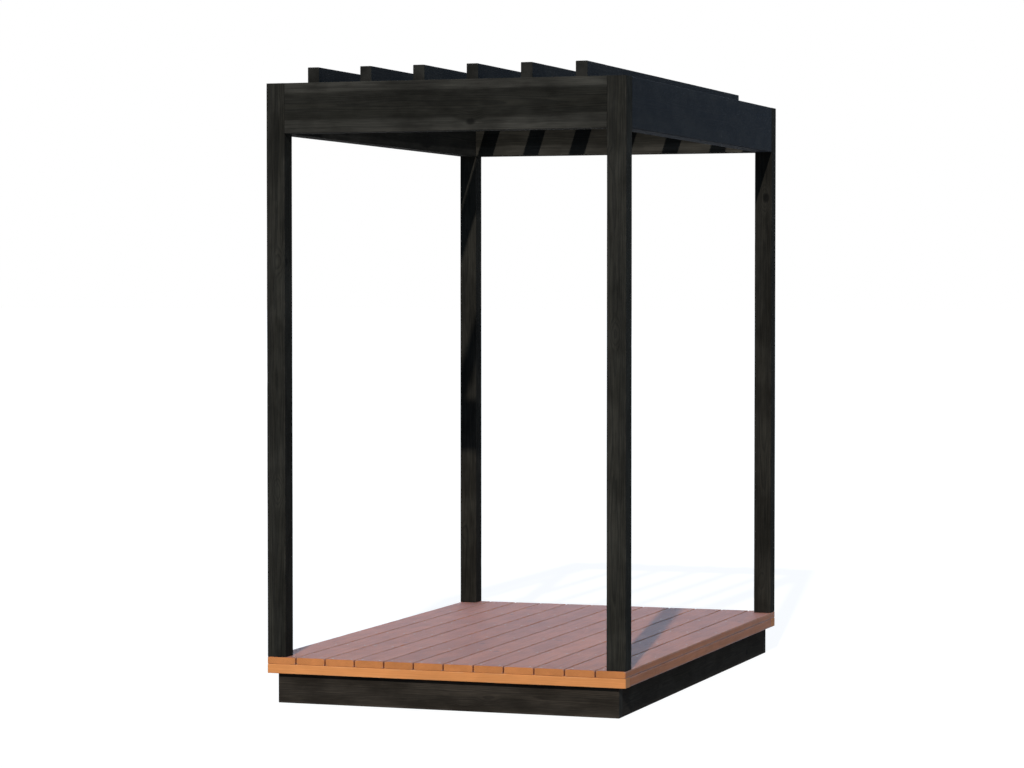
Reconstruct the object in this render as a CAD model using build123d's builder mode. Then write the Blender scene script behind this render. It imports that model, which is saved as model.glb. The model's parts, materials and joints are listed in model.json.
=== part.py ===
"""Wooden pergola: a boarded deck on a plinth, four corner posts and an open roof of rafters.

Millimetres. X runs across the front, Y from front to back, Z up.
The origin is on the ground, under the middle of the deck.
"""

import os

from build123d import *

os.makedirs("parts", exist_ok=True)

# Planed timber: every long edge is eased by a small chamfer
arris = 2.0

# Plinth of beams on edge, set in under the deck
plinth_height = 120.0
plinth_thickness = 45.0
plinth_side_inset = 35.0
plinth_end_inset = 29.0

# Floor frame: a rim of flat timbers, with joists across it
rim_width = 58.0
rim_height = 38.0
joist_width = 58.0
joist_count = 4

# Deck boards, which run from front to back with open joints
board_count = 12
board_width = 120.0
board_gap = 5.0
board_thickness = 28.0
board_edge_radius = 3.0
deck_depth = 2330.0

# Posts on the corners of the deck
post_size = 78.0
post_length = 2285.0

# Beams between the posts, flush with their tops and outer faces
beam_height = 200.0
beam_thickness = 78.0

# Rafters, whose ends are notched to sit on the front and back beams
rafter_count = 6
rafter_thickness = 48.0
rafter_height = 95.0
rafter_rise = 62.0
rafter_setback = 32.0
notch_clearance = 0.5

# Levels above the ground
rim_level = plinth_height
board_level = rim_level + rim_height
deck_level = board_level + board_thickness
frame_top_level = deck_level + post_length
beam_level = frame_top_level - beam_height
rafter_level = frame_top_level + rafter_rise - rafter_height

# Plan sizes that follow from whole boards
board_pitch = board_width + board_gap
deck_width = board_count * board_pitch - board_gap
plinth_width = deck_width - 2 * plinth_side_inset
plinth_depth = deck_depth - 2 * plinth_end_inset
clear_width = deck_width - 2 * post_size
clear_depth = deck_depth - 2 * post_size

# Each rafter stands in the middle of one of the equal bays between the posts
rafter_pitch = clear_width / rafter_count
rafter_length = deck_depth - 2 * rafter_setback
shoulder_length = deck_depth - 2 * (beam_thickness + notch_clearance)

# The two sides of each axis, by name
across_sides = {"left": -1, "right": 1}
along_sides = {"front": -1, "back": 1}


def centred_steps(count, pitch):
    """Places of count pieces at one pitch, centred on zero."""
    return [(index - (count - 1) / 2) * pitch for index in range(count)]


def across_plane(length, y, z):
    """End plane of a timber that runs along X, centred on X zero; its sketch axes are Y and Z."""
    return Plane(origin=(-length / 2, y, z), x_dir=(0, 1, 0), z_dir=(1, 0, 0))


def along_plane(length, x, z):
    """End plane of a timber that runs along Y, centred on Y zero; its sketch axes are X and Z."""
    return Plane(origin=(x, length / 2, z), x_dir=(1, 0, 0), z_dir=(0, -1, 0))


def save(piece, name):
    """Label a finished piece and write it to its own file."""
    piece.part.label = name
    export_step(piece.part, f"parts/{name}.step")


def planed_timber(name, end_plane, width, height, length):
    """Straight timber run out from its end plane, standing on the plane's origin."""
    with BuildPart() as timber:
        with BuildSketch(end_plane) as section:
            Rectangle(width, height, align=(Align.CENTER, Align.MIN))
            chamfer(section.vertices(), length=arris)
        extrude(amount=length)
    save(timber, name)


def deck_board(name, x):
    """Board laid flat, with rounded long edges on its upper face."""
    with BuildPart() as board:
        with BuildSketch(along_plane(deck_depth, x, board_level)) as section:
            Rectangle(board_width, board_thickness, align=(Align.CENTER, Align.MIN))
            fillet(section.vertices().group_by(Axis.Z)[-1], radius=board_edge_radius)
        extrude(amount=deck_depth)
    save(board, name)


def corner_post(name, x, y):
    """Square post that stands on a corner of the deck."""
    with BuildPart() as post:
        with BuildSketch(Plane(origin=(x, y, deck_level))) as section:
            Rectangle(post_size, post_size)
            chamfer(section.vertices(), length=arris)
        extrude(amount=post_length)
    save(post, name)


def notched_rafter(name, x):
    """Rafter that bears on the beams' tops, with a shoulder between their inner faces."""
    with BuildPart() as rafter:
        with BuildSketch(Plane.YZ.offset(x - rafter_thickness / 2)):
            with Locations((0, rafter_level)):
                Rectangle(shoulder_length, rafter_height, align=(Align.CENTER, Align.MIN))
            with Locations((0, frame_top_level)):
                Rectangle(rafter_length, rafter_rise, align=(Align.CENTER, Align.MIN))
        extrude(amount=rafter_thickness)
        edges_by_level = rafter.edges().filter_by(Axis.Y).group_by(Axis.Z)
        chamfer(edges_by_level[0] + edges_by_level[-1], length=arris)
    save(rafter, name)


# Plinth: front and back run the full width, the other three fit between them
plinth_between = plinth_depth - 2 * plinth_thickness
for where, side in along_sides.items():
    face = side * (plinth_depth - plinth_thickness) / 2
    planed_timber(
        f"plinth_{where}",
        across_plane(plinth_width, face, 0),
        plinth_thickness,
        plinth_height,
        plinth_width,
    )
for where, side in {**across_sides, "middle": 0}.items():
    face = side * (plinth_width - plinth_thickness) / 2
    planed_timber(
        f"plinth_{where}",
        along_plane(plinth_between, face, 0),
        plinth_thickness,
        plinth_height,
        plinth_between,
    )

# Rim: front and back run the full width, and their ends show at the sides
rim_between = deck_depth - 2 * rim_width
for where, side in along_sides.items():
    face = side * (deck_depth - rim_width) / 2
    planed_timber(
        f"rim_{where}",
        across_plane(deck_width, face, rim_level),
        rim_width,
        rim_height,
        deck_width,
    )
for where, side in across_sides.items():
    face = side * (deck_width - rim_width) / 2
    planed_timber(
        f"rim_{where}",
        along_plane(rim_between, face, rim_level),
        rim_width,
        rim_height,
        rim_between,
    )

# Joists between the side rims, evenly spaced from the front rim to the back rim
joist_length = deck_width - 2 * rim_width
joist_pitch = (deck_depth - rim_width) / (joist_count + 1)
for number, y in enumerate(centred_steps(joist_count, joist_pitch), start=1):
    planed_timber(
        f"joist_{number}",
        across_plane(joist_length, y, rim_level),
        joist_width,
        rim_height,
        joist_length,
    )

# Deck boards, from left to right
for number, x in enumerate(centred_steps(board_count, board_pitch), start=1):
    deck_board(f"deck_board_{number:02d}", x)

# Posts, flush with the edges of the deck
for along, along_side in along_sides.items():
    for across, across_side in across_sides.items():
        corner_post(
            f"post_{along}_{across}",
            across_side * (deck_width - post_size) / 2,
            along_side * (deck_depth - post_size) / 2,
        )

# Beams between the posts
for where, side in along_sides.items():
    face = side * (deck_depth - beam_thickness) / 2
    planed_timber(
        f"beam_{where}",
        across_plane(clear_width, face, beam_level),
        beam_thickness,
        beam_height,
        clear_width,
    )
for where, side in across_sides.items():
    face = side * (deck_width - beam_thickness) / 2
    planed_timber(
        f"beam_{where}",
        along_plane(clear_depth, face, beam_level),
        beam_thickness,
        beam_height,
        clear_depth,
    )

# Rafters, from left to right
for number, x in enumerate(centred_steps(rafter_count, rafter_pitch), start=1):
    notched_rafter(f"rafter_{number}", x)
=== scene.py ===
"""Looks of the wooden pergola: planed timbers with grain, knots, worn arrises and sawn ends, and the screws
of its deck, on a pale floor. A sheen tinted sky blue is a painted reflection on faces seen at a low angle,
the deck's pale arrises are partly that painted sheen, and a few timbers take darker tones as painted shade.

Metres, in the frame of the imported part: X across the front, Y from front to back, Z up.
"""

import json
import math
import random

import bpy
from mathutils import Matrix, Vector, noise


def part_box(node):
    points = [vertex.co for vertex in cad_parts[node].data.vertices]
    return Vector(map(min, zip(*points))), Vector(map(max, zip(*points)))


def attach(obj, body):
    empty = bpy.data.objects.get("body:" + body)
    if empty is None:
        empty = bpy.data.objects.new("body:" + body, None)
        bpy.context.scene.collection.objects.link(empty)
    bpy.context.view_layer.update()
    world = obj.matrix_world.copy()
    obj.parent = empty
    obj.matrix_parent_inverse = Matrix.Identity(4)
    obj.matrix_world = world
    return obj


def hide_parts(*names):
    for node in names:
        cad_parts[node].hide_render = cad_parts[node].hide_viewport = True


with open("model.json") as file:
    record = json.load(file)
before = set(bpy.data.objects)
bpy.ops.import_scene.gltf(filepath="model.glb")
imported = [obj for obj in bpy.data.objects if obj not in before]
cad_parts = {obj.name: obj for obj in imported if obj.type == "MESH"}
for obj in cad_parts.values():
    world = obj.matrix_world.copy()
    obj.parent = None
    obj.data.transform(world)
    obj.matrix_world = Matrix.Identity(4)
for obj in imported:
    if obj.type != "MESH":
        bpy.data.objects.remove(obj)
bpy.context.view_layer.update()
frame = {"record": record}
scene = bpy.context.scene
slot_of = {row["node"]: row["material_slot"] for row in frame["record"]["subparts"]}

# Camera at the photograph's place, its turns in degrees
CAMERA_PLACE = (4.167, -12.405, 1.661)
CAMERA_TURN = (88.197, 0.0, 19.049)
CAMERA_LENS = 107.9
CAMERA_REACH = 1000.0
SENSOR_WIDTH = 36.0

# Light: one sun from the front right, a broad soft lamp from behind, and a pale blue fill all around.
# Each lamp has the direction towards it, and its angle in degrees.
WHITE = (1.0, 1.0, 1.0)
SUN_TOWARDS = (0.161, -0.842, 0.515)
SUN_STRENGTH = 2.8
SUN_COLOUR = (1.0, 0.965, 0.91)
SUN_ANGLE = 0.9
BACK_TOWARDS = (-0.55, 0.8, 0.25)
BACK_STRENGTH = 1.6
BACK_COLOUR = (0.66, 0.87, 1.12)
BACK_ANGLE = 80.0
FILL_COLOUR = (0.46, 0.84, 1.3)
FILL_STRENGTH = 0.3

# Floor: white to the eye with a faint shadow, grey for the light that it throws back, and grey under the deck
FLOOR_SIZE = 400.0
FLOOR_GLOW = 0.89
FLOOR_SHADE = 0.2
FLOOR_BOUNCE = 0.3
FLOOR_COVERED = 0.3

# Patterns in the wood: how fine each one is, twice across the timber and then along it
KNOT_SCALE = (5.2, 5.2, 3.6)
WANDER_SCALE = (0.0, 0.0, 1.1)
RIPPLE_SCALE = (45.0, 45.0, 5.0)
FIBRE_SCALE = (520.0, 520.0, 9.0)
STREAK_SCALE = (60.0, 60.0, 1.6)
BLOTCH_SCALE = (14.0, 14.0, 6.0)
CLOUD_SCALE = (6.0, 6.0, 2.2)
SCUFF_SCALE = (90.0, 90.0, 22.0)
ACROSS = (1.0, 1.0, 0.0)

# The span over which each pattern fades in
KNOT_CORE = (0.1, 0.045)
KNOT_SWELL = (0.3, 0.05)
LATE_RISE = (0.35, 0.9)
LATE_FALL = (1.0, 0.92)
STREAK_SPAN = (0.35, 0.7)
BLOTCH_SPAN = (0.32, 0.68)
CLOUD_SPAN = (0.35, 0.65)
FIBRE_SPAN = (0.2, 0.8)

# How far a knot pushes the rings, half the blur at the edge of the heartwood, the swing of the roughness,
# and the relief of the surface
KNOT_PUSH = 0.012
HEART_BLUR = 0.006
ROUGH_SWING = 0.08
LATE_RELIEF = 0.6
FIBRE_RELIEF = 0.7
KNOT_RELIEF = -0.8
RELIEF_DEPTH = 0.0006

# Timber meshes: rings of points along a timber, each with flats and rounded corners
RING_STEP = 0.045
RING_STRAY = 0.2
END_RING = 0.006
END_EASE = 0.001
CAP_INSET = 0.004
FACE_STEP = 0.02
ARRIS_SPAN = 0.005
CORNER_STEPS = 3
CORNER_SIGNS = ((1, 1), (-1, 1), (-1, -1), (1, -1))
TIMBER_ARRIS = 0.0026
BOARD_ARRIS = 0.003
SHARP_ANGLE = math.radians(40)

# The two axes across a timber and the one along it, for a longest side along X, Y or Z
RUN_AXES = ((1, 2, 0), (2, 0, 1), (0, 1, 2))

# Rafter shoulders: the length of their slope, their clearance to the beams, and the room kept free of rings
SHOULDER_SLOPE = 0.0004
SHOULDER_CLEARANCE = 0.0005
SHOULDER_ROOM = 0.003

# Wear of the meshes: arrises that sway and chip along a timber, and faces that are not quite flat.
# Shifts of the noise part the corners, the chips from the sway, and the timbers from each other.
ARRIS_SWAY = 0.3
SWAY_SCALE = 5.0
ARRIS_CHIP = 1.6
CHIP_SCALE = 19.0
CHIP_START = 0.35
CHIP_SHIFT = 3.0
CORNER_SHIFT = 7.0
FACE_WEAR = 0.0005
FACE_SCALE = 9.0
RUN_SCALE = 2.5
WEAR_SHIFTS = (0, 50)
GRAIN_SHIFTS = (0, 400)

# Grain and shade: piths lie in shares of a section, some well outside it, and a tone multiplies the colour.
# The joists go with the rim.
BOARD_PITHS = (-1.4, 2.4)
BOARD_PITH_RANGE = (0.3, 0.7)
RAFTER_PITH_RANGES = ((-0.1, 1.1), (-0.2, 1.2))
RIM_PITH_RANGES = ((-0.8, 1.8), (-1.5, -0.5))
FRAME_PITH_RANGES = ((0.4, 0.6), (0.4, 0.6))
FRONT_BEAM_PITH = (0.5, 0.525)
BOARD_TONES = (0.93, 1.07)
RAFTER_TONES = (0.98, 1.18)
RIM_TONES = (0.98, 1.04)
PLINTH_TONES = (1.5, 1.65)
# Painted shade: the side rims take one tone, a little darker, as the sides of the deck lie in shade
SIDE_RIM_SHADE_TONE = 0.93
# Each post and beam has a tone of its own; the left beam's is lowered as painted shade on its inner face, and
# the right beam's is lowered under its painted sky sheen
FRAME_TONES_AND_SHADE = {
    "post_front_left": 1.4,
    "post_front_right": 1.47,
    "post_back_left": 1.18,
    "post_back_right": 1.09,
    "beam_front": 1.0,
    "beam_back": 1.04,
    "beam_left": 0.8,
    "beam_right": 0.82,
}

# Lens-head screws of the deck: (radius, height over the board) of each step of the head, then its star recess
SCREW_STEPS = ((0.0036, -0.0009), (0.004, -0.0002), (0.004, 0.0001), (0.0034, 0.0006), (0.0026, 0.0009))
SCREW_SIDES = 24
SCREW_TURNS = [2 * math.pi * side / SCREW_SIDES for side in range(SCREW_SIDES)]
SCREW_INSET = 0.022
SCREW_STRAY = 0.002
STAR_RADIUS = 0.0017
STAR_LOBE = 0.0003
STAR_LOBES = 6
STAR_TOP = 0.001
STAR_FOOT = 0.0002

# Steel of the screws: two greys in fine mottling, and the roughness of each
MOTTLE_SCALE = (900.0, 900.0, 900.0)
MOTTLE_SPAN = (0.35, 0.65)
STEEL_DARK = (0.36, 0.33, 0.3)
STEEL_LIGHT = (0.5, 0.48, 0.45)
POLISH_SPAN = (0.3, 0.7)
ROUGH_DARK = 0.5
ROUGH_LIGHT = 0.36

# Sockets of the two colours and of the result of a Mix node
MIX_FIRST = 6
MIX_SECOND = 7
MIX_RESULT = 2


def seeded(name):
    """Random draws of one piece, the same on every run."""
    return random.Random("pergola " + name)


class Shader:
    """Nodes of one material or world, made by short calls.

    A value is a number, a colour or another node's output, and a span the two ends of a range.
    """

    def __init__(self, owner):
        self.owner = owner
        owner.use_nodes = True
        self.tree = owner.node_tree
        self.tree.nodes.clear()

    def node(self, kind, inputs=(), **settings):
        made = self.tree.nodes.new(kind)
        for key, value in settings.items():
            setattr(made, key, value)
        for key, value in dict(inputs).items():
            self.put(value, made.inputs[key])
        return made

    def put(self, value, socket):
        if isinstance(value, bpy.types.NodeSocket):
            self.tree.links.new(value, socket)
        elif isinstance(value, (tuple, list)) and len(socket.default_value) == 4 and len(value) == 3:
            socket.default_value = (*value, 1.0)
        else:
            socket.default_value = value

    def calc(self, operation, *values):
        made = self.node("ShaderNodeMath", dict(enumerate(values)), operation=operation)
        return made.outputs[0]

    def vector(self, operation, *values):
        made = self.node("ShaderNodeVectorMath", dict(enumerate(values)), operation=operation)
        return made.outputs["Value" if operation == "LENGTH" else "Vector"]

    def attribute(self, name, output="Fac"):
        return self.node("ShaderNodeAttribute", attribute_name=name).outputs[output]

    def noise(self, place, scale, detail=2.0, roughness=0.5, output="Fac"):
        """Noise with a scale of its own along each axis."""
        scaled = self.vector("MULTIPLY", place, scale)
        inputs = {"Vector": scaled, "Scale": 1.0, "Detail": detail, "Roughness": roughness}
        return self.node("ShaderNodeTexNoise", inputs).outputs[output]

    def step(self, value, span, to_low=0.0, to_high=1.0):
        """Smooth step of a value from its span to another one."""
        low, high = span
        inputs = {"Value": value, "From Min": low, "From Max": high, "To Min": to_low, "To Max": to_high}
        return self.node("ShaderNodeMapRange", inputs, interpolation_type="SMOOTHSTEP").outputs["Result"]

    def swing(self, value, span, amount, middle=1.0):
        """Smooth step of a value from its span to an amount below and above a middle."""
        return self.step(value, span, middle - amount, middle + amount)

    def mix(self, share, first, second, blend="MIX"):
        inputs = {"Factor": share, MIX_FIRST: first, MIX_SECOND: second}
        return self.node("ShaderNodeMix", inputs, data_type="RGBA", blend_type=blend).outputs[MIX_RESULT]

    def seen(self):
        """1 for what the eye sees, also mirrored or through glass, and 0 for light on other things."""
        path = self.node("ShaderNodeLightPath").outputs
        plain = self.calc("ADD", path["Is Camera Ray"], path["Is Glossy Ray"])
        return self.calc("ADD", plain, path["Is Transmission Ray"])

    def finish(self, surface, output="ShaderNodeOutputMaterial"):
        self.node(output, {"Surface": surface})
        return self.owner


def wood(name, look):
    """Solid wood: rings around the timber's pith, so faces and sawn ends of a timber share one grain."""
    s = Shader(bpy.data.materials.new(name))
    place = s.attribute("grain", "Vector")
    tone = s.attribute("tone")
    edge = s.attribute("edge")
    end = s.attribute("end")

    # Knots: short branches at random places, which push the rings aside
    knot_place = s.vector("MULTIPLY", place, KNOT_SCALE)
    knot_cell = s.node("ShaderNodeTexVoronoi", {"Vector": knot_place, "Scale": 1.0}, feature="F1")
    knot_reach = knot_cell.outputs["Distance"]
    knot = s.step(knot_reach, KNOT_CORE)
    knot_swell = s.step(knot_reach, KNOT_SWELL)

    # Rings: distance from a pith that wanders along the timber
    wander = s.vector("SUBTRACT", s.noise(place, WANDER_SCALE, output="Color"), (0.5, 0.5, 0.5))
    wander = s.vector("MULTIPLY", wander, (look["wander"], look["wander"], 0.0))
    flat = s.vector("MULTIPLY", place, ACROSS)
    radius = s.vector("LENGTH", s.vector("ADD", flat, wander))
    radius = s.calc("MULTIPLY_ADD", s.noise(place, RIPPLE_SCALE), look["ripple"], radius)
    radius = s.calc("MULTIPLY_ADD", knot_swell, -KNOT_PUSH, radius)
    phase = s.calc("FRACT", s.calc("DIVIDE", radius, look["ring"]))
    late = s.calc("MULTIPLY", s.step(phase, LATE_RISE), s.step(phase, LATE_FALL))

    # Colour: rings, sapwood, streaks, knots, sawn ends and worn edges, each over the one before; on the deck
    # the pale worn edges are partly a painted sheen that lightens the joints
    fibre = s.noise(place, FIBRE_SCALE, detail=3.0, roughness=0.6)
    streak = s.noise(place, STREAK_SCALE, detail=3.0, roughness=0.55)
    scuff_and_sheen_patches = s.step(s.noise(place, SCUFF_SCALE, detail=3.0), look["scuff_and_sheen_patches"])
    sap = s.step(radius, (look["heart"] - HEART_BLUR, look["heart"] + HEART_BLUR))
    worn_edge_and_sheen = s.calc("MULTIPLY", s.calc("MULTIPLY", edge, scuff_and_sheen_patches), look["edge_wear_and_sheen_share"])
    end_colour = s.mix(s.calc("MULTIPLY", late, look["end_ring"]), look["end"], look["late"])
    colour = s.mix(s.calc("MULTIPLY", late, look["ring_share"]), look["early"], look["late"])
    colour = s.mix(s.calc("MULTIPLY", sap, look["sap_share"]), colour, look["sap"])
    colour = s.mix(s.step(streak, STREAK_SPAN, 0.0, look["streak_share"]), colour, look["streak"])
    colour = s.mix(s.calc("MULTIPLY", knot, look["knot_share"]), colour, look["knot"])
    colour = s.mix(s.calc("MULTIPLY", end, look["end_share"]), colour, end_colour)
    colour = s.mix(worn_edge_and_sheen, colour, look["wear"])

    # Shade: stain marks, clouds, fibres and the tone of the timber
    blotch = s.noise(place, BLOTCH_SCALE, detail=3.0, roughness=0.55)
    cloud = s.noise(place, CLOUD_SCALE)
    shade = s.swing(blotch, BLOTCH_SPAN, look["blotch"])
    shade = s.calc("MULTIPLY", shade, s.swing(cloud, CLOUD_SPAN, look["cloud"]))
    shade = s.calc("MULTIPLY", shade, s.swing(fibre, FIBRE_SPAN, look["fibre"]))
    shade = s.calc("MULTIPLY", shade, tone)
    grey = s.node("ShaderNodeCombineColor", {"Red": shade, "Green": shade, "Blue": shade}).outputs[0]
    colour = s.mix(1.0, colour, grey, "MULTIPLY")

    # Surface: roughness that follows the fibres, and a fine relief of rings, fibres and knots
    roughness = s.swing(fibre, FIBRE_SPAN, ROUGH_SWING, look["rough"])
    height = s.calc("MULTIPLY_ADD", late, LATE_RELIEF, s.calc("MULTIPLY", fibre, FIBRE_RELIEF))
    height = s.calc("MULTIPLY_ADD", knot, KNOT_RELIEF, height)
    bump = s.node("ShaderNodeBump", {"Height": height, "Strength": look["bump"], "Distance": RELIEF_DEPTH})
    # The sheen, tinted sky blue on the stained and deck woods, is a painted reflection of the sky on faces
    # seen at a low angle
    surface = s.node(
        "ShaderNodeBsdfPrincipled",
        {
            "Base Color": colour,
            "Roughness": roughness,
            "Specular IOR Level": look["gloss"],
            "Sheen Weight": look["sheen"],
            "Sheen Roughness": look["sheen_rough"],
            "Sheen Tint": look["sky_sheen_tint"],
            "Normal": bump.outputs["Normal"],
        },
    )
    return s.finish(surface.outputs["BSDF"])


# Looks of the woods: their colours, the width of a ring, and the share or strength of each mark and finish; a
# sky-blue tint of the sheen is a painted reflection
LOOKS = {
    "dark_stain": {
        "early": (0.0195, 0.018, 0.0145),
        "late": (0.0115, 0.011, 0.0095),
        "sap": (0.04, 0.037, 0.031),
        "streak": (0.0125, 0.012, 0.0105),
        "knot": (0.005, 0.0048, 0.0045),
        "end": (0.027, 0.0255, 0.0225),
        "wear": (0.055, 0.046, 0.035),
        "ring": 0.0045,
        "ring_share": 0.75,
        "heart": 0.07,
        "sap_share": 0.9,
        "streak_share": 0.5,
        "blotch": 0.26,
        "cloud": 0.12,
        "fibre": 0.32,
        "knot_share": 0.8,
        "end_share": 0.6,
        "end_ring": 0.7,
        "edge_wear_and_sheen_share": 0.16,
        "scuff_and_sheen_patches": (0.42, 0.66),
        "wander": 0.03,
        "ripple": 0.006,
        "rough": 0.7,
        "gloss": 0.004,
        # Painted reflection: a faint sheen tinted sky blue, on faces seen at a low angle
        "sheen": 0.008,
        "sheen_rough": 0.4,
        "sky_sheen_tint": (0.58, 0.8, 1.0),
        "bump": 0.35,
    },
    "deck_wood": {
        "early": (0.5, 0.173, 0.072),
        "late": (0.395, 0.128, 0.05),
        "sap": (0.52, 0.188, 0.079),
        "streak": (0.415, 0.139, 0.057),
        "knot": (0.18, 0.07, 0.04),
        "end": (0.58, 0.22, 0.071),
        # The pale blue-grey of the worn arrises is partly real wear and partly a painted sheen that lightens
        # the joints between the boards
        "wear": (0.45, 0.255, 0.2),
        "ring": 0.005,
        "ring_share": 0.6,
        "heart": 0.1,
        "sap_share": 0.3,
        "streak_share": 0.4,
        "blotch": 0.08,
        "cloud": 0.04,
        "fibre": 0.08,
        "knot_share": 0.45,
        "end_share": 1.0,
        "end_ring": 0.6,
        "edge_wear_and_sheen_share": 0.7,
        "scuff_and_sheen_patches": (0.28, 0.6),
        "wander": 0.035,
        "ripple": 0.006,
        "rough": 0.55,
        # Painted reflection: the strong sheen tinted blue-grey stands for the sky mirrored at a low angle,
        # and turns the orange-brown boards mauve
        "gloss": 0.02,
        "sheen": 0.78,
        "sheen_rough": 0.17,
        "sky_sheen_tint": (0.32, 0.72, 1.0),
        "bump": 0.3,
    },
    "rim_wood": {
        "early": (0.68, 0.262, 0.085),
        "late": (0.54, 0.19, 0.052),
        "sap": (0.72, 0.3, 0.105),
        "streak": (0.58, 0.21, 0.064),
        "knot": (0.26, 0.09, 0.03),
        "end": (0.42, 0.19, 0.09),
        "wear": (0.66, 0.33, 0.15),
        "ring": 0.0045,
        "ring_share": 0.55,
        "heart": 0.08,
        "sap_share": 0.4,
        "streak_share": 0.35,
        "blotch": 0.06,
        "cloud": 0.04,
        "fibre": 0.06,
        "knot_share": 0.75,
        "end_share": 0.7,
        "end_ring": 0.3,
        "edge_wear_and_sheen_share": 0.35,
        "scuff_and_sheen_patches": (0.42, 0.66),
        "wander": 0.03,
        "ripple": 0.006,
        "rough": 0.6,
        "gloss": 0.06,
        "sheen": 0.0,
        "sheen_rough": 0.4,
        "sky_sheen_tint": WHITE,
        "bump": 0.3,
    },
    "joist_wood": {
        "early": (0.5, 0.36, 0.21),
        "late": (0.36, 0.22, 0.11),
        "sap": (0.55, 0.42, 0.26),
        "streak": (0.42, 0.29, 0.16),
        "knot": (0.16, 0.08, 0.035),
        "end": (0.36, 0.25, 0.14),
        "wear": (0.58, 0.46, 0.3),
        "ring": 0.0045,
        "ring_share": 0.7,
        "heart": 0.06,
        "sap_share": 0.5,
        "streak_share": 0.4,
        "blotch": 0.1,
        "cloud": 0.06,
        "fibre": 0.08,
        "knot_share": 0.8,
        "end_share": 0.6,
        "end_ring": 0.5,
        "edge_wear_and_sheen_share": 0.2,
        "scuff_and_sheen_patches": (0.42, 0.66),
        "wander": 0.03,
        "ripple": 0.006,
        "rough": 0.75,
        "gloss": 0.2,
        "sheen": 0.0,
        "sheen_rough": 0.4,
        "sky_sheen_tint": WHITE,
        "bump": 0.4,
    },
}
# The rafters and the right beam are plainer, with a stronger and bluer sheen at a low angle: a painted
# reflection of the sky on their sides
LOOKS["dark_stain_roof_sky_sheen"] = {
    **LOOKS["dark_stain"],
    "sap_share": 0.15,
    "gloss": 0.01,
    "sheen": 0.036,
    "sky_sheen_tint": (0.29, 0.55, 1.0),
}
# The plinth is a little browner
LOOKS["dark_stain_plinth"] = {
    **LOOKS["dark_stain"],
    "early": (0.0225, 0.0183, 0.0142),
    "late": (0.0135, 0.0112, 0.009),
    "sap": (0.046, 0.0375, 0.03),
    "streak": (0.0145, 0.0122, 0.0101),
}
MATERIALS = {name: wood(name, look) for name, look in LOOKS.items()}


def smooth_piece(name, verts, faces, material):
    """Object of smooth faces that keeps its sharp edges."""
    mesh = bpy.data.meshes.new(name)
    mesh.from_pydata(verts, [], faces)
    mesh.polygons.foreach_set("use_smooth", [True] * len(faces))
    mesh.set_sharp_from_angle(angle=SHARP_ANGLE)
    mesh.materials.append(material)
    mesh.update()
    piece = bpy.data.objects.new(name, mesh)
    scene.collection.objects.link(piece)
    return piece


def spread(length):
    """Points along a flat, in shares of its length: one close to each arris, and even ones between."""
    span = min(ARRIS_SPAN, length / 3)
    count = max(1, round((length - 2 * span) / FACE_STEP))
    inner = [span + (length - 2 * span) * index / count for index in range(count + 1)]
    return [place / length for place in inner]


def outline(section, radii, flats):
    """Points round a section with rounded corners: (u, v, inward u, inward v, 1 on an arris, 0 on a flat)."""
    u_low, u_high, v_low, v_high = section
    corners = ((u_high, v_high), (u_low, v_high), (u_low, v_low), (u_high, v_low))
    centres = [
        (u - sign_u * radius, v - sign_v * radius)
        for (u, v), (sign_u, sign_v), radius in zip(corners, CORNER_SIGNS, radii)
    ]
    points = []
    for number, (centre, radius) in enumerate(zip(centres, radii)):
        for index in range(CORNER_STEPS + 1):
            turn = math.pi / 2 * (number + index / CORNER_STEPS)
            out_u, out_v = math.cos(turn), math.sin(turn)
            u, v = centre[0] + radius * out_u, centre[1] + radius * out_v
            points.append((u, v, -out_u, -out_v, 1.0))
        # The flat runs on from the end of this corner to the start of the next one
        following = (number + 1) % len(corners)
        next_u = centres[following][0] + radii[following] * out_u
        next_v = centres[following][1] + radii[following] * out_v
        for share in flats[number]:
            points.append((u + (next_u - u) * share, v + (next_v - v) * share, -out_u, -out_v, 0.0))
    return points


def ring_places(length, draws):
    """Places of the rings along a timber: close ones at its eased ends, and uneven steps between them."""
    count = max(2, round(length / RING_STEP))
    steps = [length * (index + draws.uniform(-RING_STRAY, RING_STRAY)) / count for index in range(1, count)]
    return [0.0, END_EASE, END_RING, *steps, length - END_RING, length - END_EASE, length]


def shouldered(places, whole, length, reach, foot):
    """Sections of a rafter, whose middle, as long as the reach, hangs below the foot level of its ends."""
    near, far = (length - reach) / 2, (length + reach) / 2
    ends = (foot, *whole[1:])
    sections = [(near - SHOULDER_SLOPE, ends), (near, whole), (far, whole), (far + SHOULDER_SLOPE, ends)]
    for place in places:
        if min(abs(place - near), abs(place - far)) > SHOULDER_ROOM:
            sections.append((place, whole if near <= place <= far else ends))
    return sorted(sections)


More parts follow.
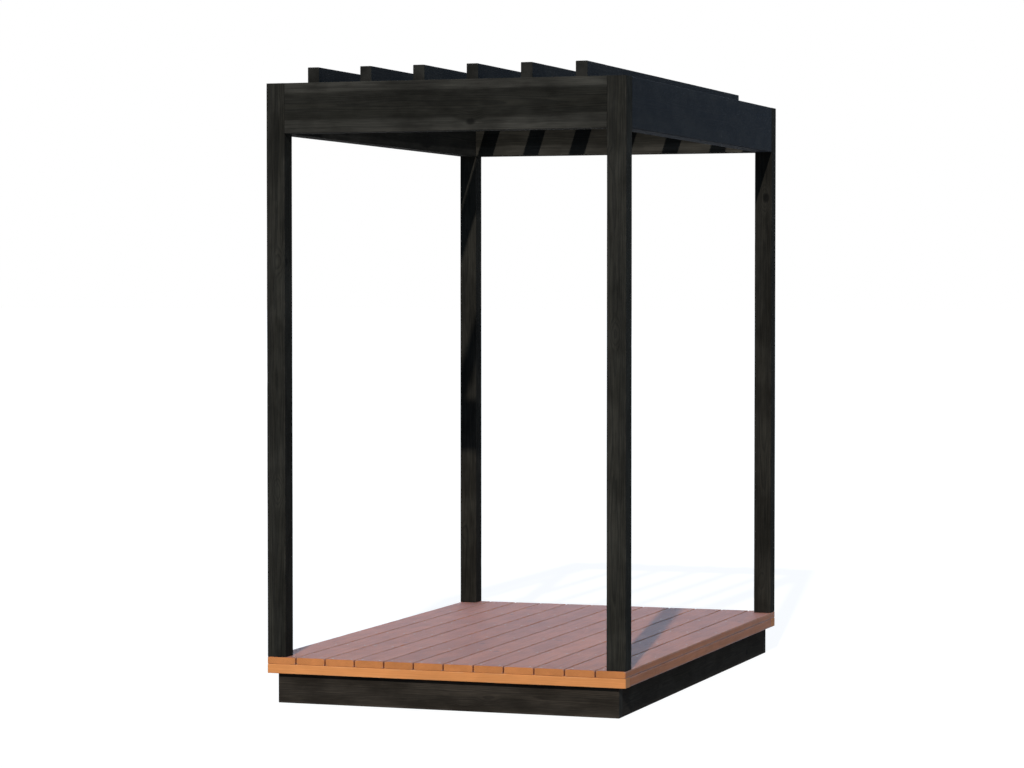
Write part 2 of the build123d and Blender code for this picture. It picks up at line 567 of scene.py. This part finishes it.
class Loft:
    """Mesh of a timber in the making: points with their grain and wear, u and v across it and w along it."""

    def __init__(self, axes, start, pith, shift):
        self.axes, self.start, self.pith, self.shift = axes, start, pith, shift
        self.verts, self.grain, self.edges, self.faces = [], [], [], []

    def add(self, u, v, w, edge):
        """Adds a point and returns its number."""
        axis_u, axis_v, axis_w = self.axes
        point = [0.0, 0.0, 0.0]
        point[axis_u], point[axis_v], point[axis_w] = u, v, self.start + w
        self.verts.append(point)
        self.grain.append((u - self.pith[0], v - self.pith[1], w + self.shift))
        self.edges.append(edge)
        return len(self.verts) - 1

    def band(self, first, second, turned=False):
        """Adds the faces between two rings."""
        for index in range(len(first)):
            following = (index + 1) % len(first)
            quad = (first[index], first[following], second[following], second[index])
            self.faces.append(quad[::-1] if turned else quad)

    def cap(self, ring, w, section, turned):
        """Closes an end: a narrow band inside its ring, and one face in the band."""
        axis_u, axis_v, _ = self.axes
        u_low, u_high, v_low, v_high = section
        u_middle, v_middle = (u_low + u_high) / 2, (v_low + v_high) / 2
        u_share, v_share = 1 - CAP_INSET / ((u_high - u_low) / 2), 1 - CAP_INSET / ((v_high - v_low) / 2)
        inner = []
        for index in ring:
            u, v = self.verts[index][axis_u], self.verts[index][axis_v]
            u, v = u_middle + (u - u_middle) * u_share, v_middle + (v - v_middle) * v_share
            inner.append(self.add(u, v, w, 0.0))
        self.band(ring, inner, turned)
        self.faces.append(tuple(inner[::-1] if turned else inner))


def timber(node, look, arris, pith, tone, shoulder=None):
    """Planed timber in the place of a CAD node, lofted along its longest side.

    arris is the radius of its long edges, pith the place of its heart across the section in shares of it,
    tone its shade, and shoulder the length of a rafter's middle and the foot level of its ends.
    """
    draws = seeded(node)
    low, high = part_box(node)
    sizes = high - low
    axes = RUN_AXES[max(range(3), key=lambda axis: sizes[axis])]
    axis_u, axis_v, axis_w = axes
    length = sizes[axis_w]
    whole = (low[axis_u], high[axis_u], low[axis_v], high[axis_v])
    flat_sizes = (whole[1] - whole[0], whole[3] - whole[2])
    flats = [spread(flat_sizes[number % 2] - 2 * arris) for number in range(4)]

    places = ring_places(length, draws)
    sections = [(place, whole) for place in places]
    if shoulder:
        sections = shouldered(places, whole, length, *shoulder)
    offset = Vector([draws.uniform(*WEAR_SHIFTS) for _ in range(3)])
    heart = (whole[0] + flat_sizes[0] * pith[0], whole[2] + flat_sizes[1] * pith[1])
    loft = Loft(axes, low[axis_w], heart, draws.uniform(*GRAIN_SHIFTS))

    rings = []
    for w, section in sections:
        radii = []
        for number in range(4):
            sway = noise.noise(offset + Vector((number * CORNER_SHIFT, 0.0, w * SWAY_SCALE)))
            chip = noise.noise(offset + Vector((number * CORNER_SHIFT, CHIP_SHIFT, w * CHIP_SCALE)))
            chip = max(0.0, chip - CHIP_START)
            radii.append(arris * (1.0 + ARRIS_SWAY * sway + ARRIS_CHIP * chip))
        ease = END_EASE if w in (0.0, length) else 0.0
        ring = []
        for u, v, in_u, in_v, edge in outline(section, radii, flats):
            wear = noise.noise(offset + Vector((u * FACE_SCALE, v * FACE_SCALE, w * RUN_SCALE)))
            depth = ease + FACE_WEAR * (0.5 + 0.5 * wear)
            ring.append(loft.add(u + in_u * depth, v + in_v * depth, w, edge))
        rings.append(ring)
    for first, second in zip(rings, rings[1:]):
        loft.band(first, second)
    side_count = len(loft.faces)
    loft.cap(rings[0], *sections[0], turned=True)
    loft.cap(rings[-1], *sections[-1], turned=False)

    piece = smooth_piece(node + "_timber", loft.verts, loft.faces, MATERIALS[look])
    attributes = piece.data.attributes
    grain = [value for point in loft.grain for value in point]
    sawn = [0.0] * side_count + [1.0] * (len(loft.faces) - side_count)
    attributes.new("grain", "FLOAT_VECTOR", "POINT").data.foreach_set("vector", grain)
    attributes.new("edge", "FLOAT", "POINT").data.foreach_set("value", loft.edges)
    attributes.new("tone", "FLOAT", "POINT").data.foreach_set("value", [tone] * len(loft.verts))
    attributes.new("end", "FLOAT", "FACE").data.foreach_set("value", sawn)
    normals = piece.modifiers.new("flat faces", "WEIGHTED_NORMAL")
    normals.keep_sharp = True
    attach(piece, "root")
    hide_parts(node)


def draw_pith(draws, ranges):
    """Place of a pith, drawn from a range for each side of the section."""
    return tuple(draws.uniform(*ends) for ends in ranges)


def dress(node):
    """Timber of one node, with the grain, shade and finish of its kind."""
    draws = seeded("timber " + node)
    kind = node.split("_")[0]
    look, arris, shoulder = slot_of[node], TIMBER_ARRIS, None
    if kind == "deck":
        pith = (draws.choice(BOARD_PITHS), draws.uniform(*BOARD_PITH_RANGE))
        tone = draws.uniform(*BOARD_TONES)
        arris = BOARD_ARRIS
    elif kind == "rafter":
        pith = draw_pith(draws, RAFTER_PITH_RANGES)
        tone = draws.uniform(*RAFTER_TONES)
        # Rafters take the plainer look with the painted sky sheen
        look = "dark_stain_roof_sky_sheen"
        front_beam, back_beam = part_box("beam_front"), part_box("beam_back")
        between_beams = back_beam[0].y - front_beam[1].y - 2 * SHOULDER_CLEARANCE
        shoulder = (between_beams, front_beam[1].z)
    elif kind in ("rim", "joist"):
        pith = draw_pith(draws, RIM_PITH_RANGES)
        # The side rims take the darker tone of painted shade
        tone = SIDE_RIM_SHADE_TONE if node in ("rim_left", "rim_right") else draws.uniform(*RIM_TONES)
    elif kind == "plinth":
        pith = draw_pith(draws, FRAME_PITH_RANGES)
        tone = draws.uniform(*PLINTH_TONES)
        look = "dark_stain_plinth"
    else:
        pith = draw_pith(draws, FRAME_PITH_RANGES)
        tone = FRAME_TONES_AND_SHADE[node]
        if node == "beam_front":
            pith = FRONT_BEAM_PITH
        elif node == "beam_right":
            # The right beam takes the same look, with its painted sky sheen
            look = "dark_stain_roof_sky_sheen"
    timber(node, look, arris, pith, tone, shoulder)


def screw_steel():
    """Dull stainless steel, a little mottled."""
    s = Shader(bpy.data.materials.new("screw_steel"))
    place = s.node("ShaderNodeTexCoord").outputs["Object"]
    mottle = s.noise(place, MOTTLE_SCALE, detail=3.0)
    colour = s.mix(s.step(mottle, MOTTLE_SPAN), STEEL_DARK, STEEL_LIGHT)
    roughness = s.step(mottle, POLISH_SPAN, ROUGH_DARK, ROUGH_LIGHT)
    surface = s.node(
        "ShaderNodeBsdfPrincipled", {"Base Color": colour, "Metallic": 1.0, "Roughness": roughness}
    )
    return s.finish(surface.outputs["BSDF"])


def add_screw(verts, faces, x, y, level, twist):
    """Adds the points and faces of one screw, which stands on a level and is turned by a twist."""
    star = [STAR_RADIUS + STAR_LOBE * math.cos(STAR_LOBES * turn) for turn in SCREW_TURNS]
    steps = [([radius] * SCREW_SIDES, height) for radius, height in SCREW_STEPS]
    steps += [(star, STAR_TOP), (star, STAR_FOOT)]
    first = len(verts)
    for radii, height in steps:
        for turn, radius in zip(SCREW_TURNS, radii):
            across, along = radius * math.cos(turn + twist), radius * math.sin(turn + twist)
            verts.append((x + across, y + along, level + height))
    last = len(verts) - SCREW_SIDES
    for row in range(first, last, SCREW_SIDES):
        above = row + SCREW_SIDES
        for side in range(SCREW_SIDES):
            following = (side + 1) % SCREW_SIDES
            faces.append((row + side, row + following, above + following, above + side))
    faces.append(tuple(range(first + SCREW_SIDES - 1, first - 1, -1)))
    faces.append(tuple(range(last, len(verts))))


def deck_screws():
    """Two screws through each board over each rim and joist that it crosses, but none under a post."""
    draws = seeded("screws")
    boards = [node for node in slot_of if node.startswith("deck_board")]
    bearers = [node for node in slot_of if node in ("rim_front", "rim_back") or node.startswith("joist")]
    posts = [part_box(node) for node in slot_of if node.startswith("post")]
    verts, faces = [], []
    for board in boards:
        low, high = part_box(board)
        for bearer in bearers:
            bearer_low, bearer_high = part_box(bearer)
            for x in (low.x + SCREW_INSET, high.x - SCREW_INSET):
                x += draws.uniform(-SCREW_STRAY, SCREW_STRAY)
                y = (bearer_low.y + bearer_high.y) / 2 + draws.uniform(-SCREW_STRAY, SCREW_STRAY)
                twist = draws.uniform(0, math.pi)
                if not any(a.x < x < b.x and a.y < y < b.y for a, b in posts):
                    add_screw(verts, faces, x, y, high.z, twist)
    piece = smooth_piece("deck_screws", verts, faces, screw_steel())
    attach(piece, "root")


def floor():
    """Wide pale floor, white to the eye, that keeps a faint shadow of the pergola."""
    s = Shader(bpy.data.materials.new("floor"))
    bounce = s.node("ShaderNodeBsdfDiffuse", {"Color": (FLOOR_BOUNCE,) * 3}).outputs[0]
    shade = s.node("ShaderNodeBsdfDiffuse", {"Color": (FLOOR_SHADE,) * 3}).outputs[0]
    glow = s.node("ShaderNodeEmission", {"Color": WHITE, "Strength": FLOOR_GLOW}).outputs[0]
    shown = s.node("ShaderNodeAddShader", {0: shade, 1: glow}).outputs[0]
    around = s.finish(s.node("ShaderNodeMixShader", {0: s.seen(), 1: bounce, 2: shown}).outputs[0])
    under = Shader(bpy.data.materials.new("floor under the deck"))
    grey = under.node("ShaderNodeBsdfDiffuse", {"Color": (FLOOR_COVERED,) * 3}).outputs[0]
    covered = under.finish(grey)

    # A border of four faces around a middle one, which the plinth covers
    low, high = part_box("plinth_front")[0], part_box("plinth_back")[1]
    half = FLOOR_SIZE / 2
    outer = [(-half, -half, 0), (half, -half, 0), (half, half, 0), (-half, half, 0)]
    inner = [(low.x, low.y, 0), (high.x, low.y, 0), (high.x, high.y, 0), (low.x, high.y, 0)]
    border_faces = [(0, 1, 5, 4), (1, 2, 6, 5), (2, 3, 7, 6), (3, 0, 4, 7)]
    mesh = bpy.data.meshes.new("floor")
    mesh.from_pydata(outer + inner, [], [*border_faces, (4, 5, 6, 7)])
    mesh.materials.append(around)
    mesh.materials.append(covered)
    mesh.polygons[len(border_faces)].material_index = 1
    piece = bpy.data.objects.new("floor", mesh)
    scene.collection.objects.link(piece)


def light():
    """The sun, the soft lamp from behind and the fill, with white behind the pergola to the eye."""
    lamps = (
        ("sun", SUN_TOWARDS, SUN_STRENGTH, SUN_COLOUR, SUN_ANGLE),
        ("back", BACK_TOWARDS, BACK_STRENGTH, BACK_COLOUR, BACK_ANGLE),
    )
    for name, towards, strength, colour, angle in lamps:
        lamp = bpy.data.lights.new(name, "SUN")
        lamp.energy = strength
        lamp.color = colour
        lamp.angle = math.radians(angle)
        piece = bpy.data.objects.new(name, lamp)
        piece.rotation_euler = Vector(towards).to_track_quat("Z", "Y").to_euler()
        scene.collection.objects.link(piece)
    s = Shader(bpy.data.worlds.new("studio"))
    fill = s.node("ShaderNodeBackground", {"Color": FILL_COLOUR, "Strength": FILL_STRENGTH}).outputs[0]
    white = s.node("ShaderNodeBackground", {"Color": WHITE, "Strength": 1.0}).outputs[0]
    shown = s.node("ShaderNodeMixShader", {0: s.seen(), 1: fill, 2: white}).outputs[0]
    scene.world = s.finish(shown, "ShaderNodeOutputWorld")


def camera():
    """Camera at the photograph's place."""
    lens = bpy.data.cameras.new("camera")
    lens.sensor_width = SENSOR_WIDTH
    lens.lens = CAMERA_LENS
    lens.clip_end = CAMERA_REACH
    piece = bpy.data.objects.new("camera", lens)
    piece.location = CAMERA_PLACE
    piece.rotation_euler = [math.radians(turn) for turn in CAMERA_TURN]
    scene.collection.objects.link(piece)
    scene.camera = piece


for node in slot_of:
    dress(node)
deck_screws()
floor()
light()
camera()
scene.view_settings.view_transform = "Standard"
